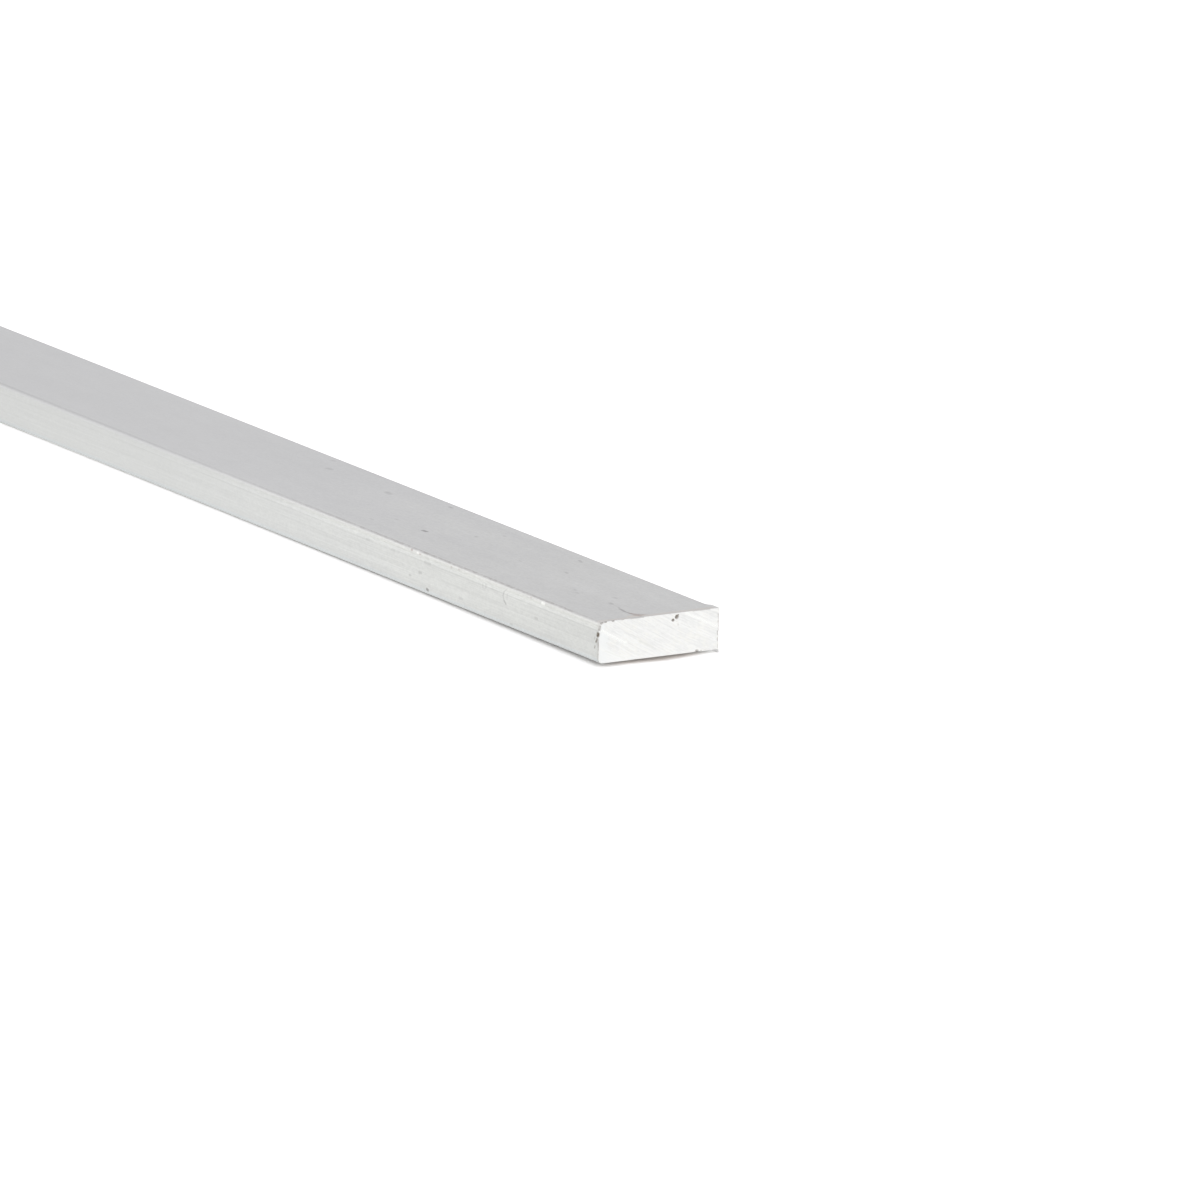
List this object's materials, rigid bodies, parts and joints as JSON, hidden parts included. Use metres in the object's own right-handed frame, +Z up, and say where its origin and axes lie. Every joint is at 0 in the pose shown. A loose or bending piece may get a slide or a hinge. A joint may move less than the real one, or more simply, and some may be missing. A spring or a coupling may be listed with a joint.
{
  "type": "flat bar",
  "caption": "Length of extruded aluminium flat bar with a plain rectangular section, small radii along its long edges and square sawn ends.",
  "frame": {"origin": "middle of the wide face that the bar rests on", "axes": "+X along the length, +Y across the width, +Z up through the thickness"},
  "size_m": [0.3, 0.02, 0.006],
  "materials": {
    "mill_aluminium": "mill finish as extruded, with fine die lines along the length and bright sawn ends"
  },
  "bodies": {
    "root": {"flat_bar": "mill_aluminium"}
  },
  "joints": []
}
